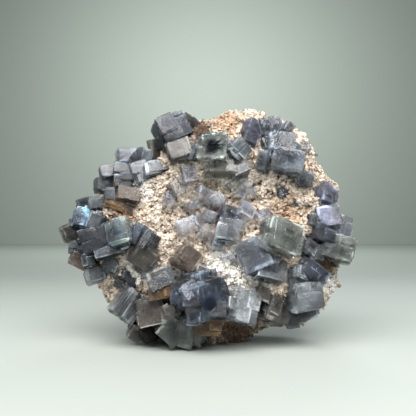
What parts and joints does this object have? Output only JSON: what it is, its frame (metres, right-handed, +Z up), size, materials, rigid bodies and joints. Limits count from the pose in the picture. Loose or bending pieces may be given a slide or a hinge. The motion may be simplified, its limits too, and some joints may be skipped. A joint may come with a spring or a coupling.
{
  "type": "fluorite crystal cluster",
  "caption": "Plate of crusted host rock with intergrown blue-grey fluorite cubes over its face, standing on a small flat spot.",
  "frame": {"origin": "middle of the small flat spot that the plate of rock stands on", "axes": "+X right across the widest extent seen from the display face, +Y to the broken back, +Z up; the display face looks along -Y"},
  "size_m": [0.2872, 0.1175, 0.2325],
  "materials": {
    "host_rock": "rough broken rock",
    "quartz_crust": "sugary drusy crust with pits and rust stains",
    "iron_cement": "dark iron-cemented grains",
    "fluorite_slate": "vitreous translucent slate-blue crystal with frosted bevels",
    "fluorite_smoky": "vitreous translucent smoky grey-brown crystal",
    "fluorite_clear": "clear to milky vitreous crystal",
    "fluorite_lavender": "vitreous lavender-blue crystal",
    "fluorite_green": "pale grey-green crystal with a dark core",
    "fluorite_amber": "amber iron-stained crystal"
  },
  "bodies": {
    "root": {"host_rock": "host_rock", "quartz_crust": "quartz_crust", "iron_lump": "iron_cement", "crown_cube": "fluorite_slate", "crown_peak": "fluorite_smoky", "crown_foot_cube": "fluorite_smoky", "crown_side_block": "fluorite_smoky", "under_crown_slab": "fluorite_clear", "stair_cube_top": "fluorite_slate", "stair_pale_block": "fluorite_clear", "stair_cube_outer": "fluorite_slate", "ledge_brown_block": "fluorite_smoky", "rust_ledge": "fluorite_amber", "center_top_cube": "fluorite_green", "olive_shelf": "fluorite_green", "clear_twin": "fluorite_clear", "lavender_blade": "fluorite_lavender", "upper_right_block": "fluorite_slate", "shoulder_cube_upper": "fluorite_slate", "shoulder_cube_lower": "fluorite_slate", "shoulder_small_cube": "fluorite_clear", "center_mauve_lower": "fluorite_smoky", "center_lavender": "fluorite_lavender", "center_clear_block": "fluorite_clear", "left_blue_tip": "fluorite_slate", "left_edge_cube": "fluorite_smoky", "left_dark_block": "fluorite_slate", "green_cube": "fluorite_green", "left_step_brown": "fluorite_smoky", "left_mid_upper": "fluorite_slate", "left_mid_lower": "fluorite_smoky", "blue_giant": "fluorite_slate", "brown_peak": "fluorite_smoky", "mauve_slab": "fluorite_smoky", "rust_block": "fluorite_amber", "yellow_foot": "fluorite_amber", "foot_left_cube": "fluorite_green", "foot_center_block": "fluorite_green", "lower_brown_cube": "fluorite_smoky", "lamella_stack": "fluorite_clear", "clear_corner_cube": "fluorite_clear", "brown_wedge": "fluorite_smoky", "olive_cube": "fluorite_green", "right_slab": "fluorite_slate", "lavender_face_cube": "fluorite_lavender", "lavender_upper_cube": "fluorite_lavender", "right_corner_cube": "fluorite_green", "right_dark_cube": "fluorite_slate", "amber_wedge": "fluorite_slate", "lower_right_block": "fluorite_clear", "right_dark_wedge": "fluorite_clear", "left_small_crystals": "fluorite_clear", "left_ledge_crystals": "fluorite_clear", "center_small_crystals": "fluorite_slate", "center_pale_crystals": "fluorite_slate", "top_small_crystals": "fluorite_clear", "right_small_crystals": "fluorite_clear", "foot_small_crystals": "fluorite_smoky"}
  },
  "joints": []
}
